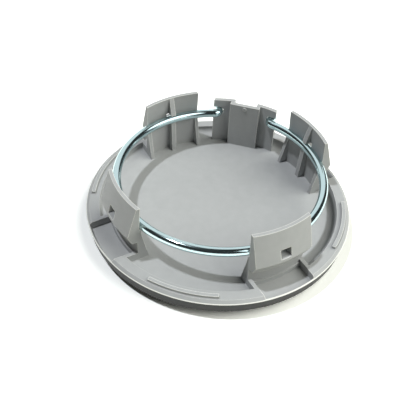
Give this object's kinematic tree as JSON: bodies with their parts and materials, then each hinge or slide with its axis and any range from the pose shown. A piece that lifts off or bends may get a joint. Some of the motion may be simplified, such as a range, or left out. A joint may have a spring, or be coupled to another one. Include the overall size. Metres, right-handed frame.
{
  "type": "wheel centre cap",
  "caption": "Round push-in wheel centre cap: a moulded disc with barbed clip legs on its back and a sprung wire ring that presses them outwards.",
  "frame": {"origin": "centre of the front face, on the cap's axis, with the cap lying on that face", "axes": "+Z along the cap's axis from the front face towards the clip legs, +Y towards the key leg that holds the wire's ends"},
  "size_m": [0.058, 0.058, 0.0177],
  "materials": {
    "moulded_body": "grey moulded plastic, satin, with a dark grey lacquer on the front face and outer wall",
    "spring_wire": "drawn steel wire, bright zinc plate"
  },
  "bodies": {
    "root": {"cap_body": "moulded_body", "retaining_ring": "spring_wire"}
  },
  "joints": []
}
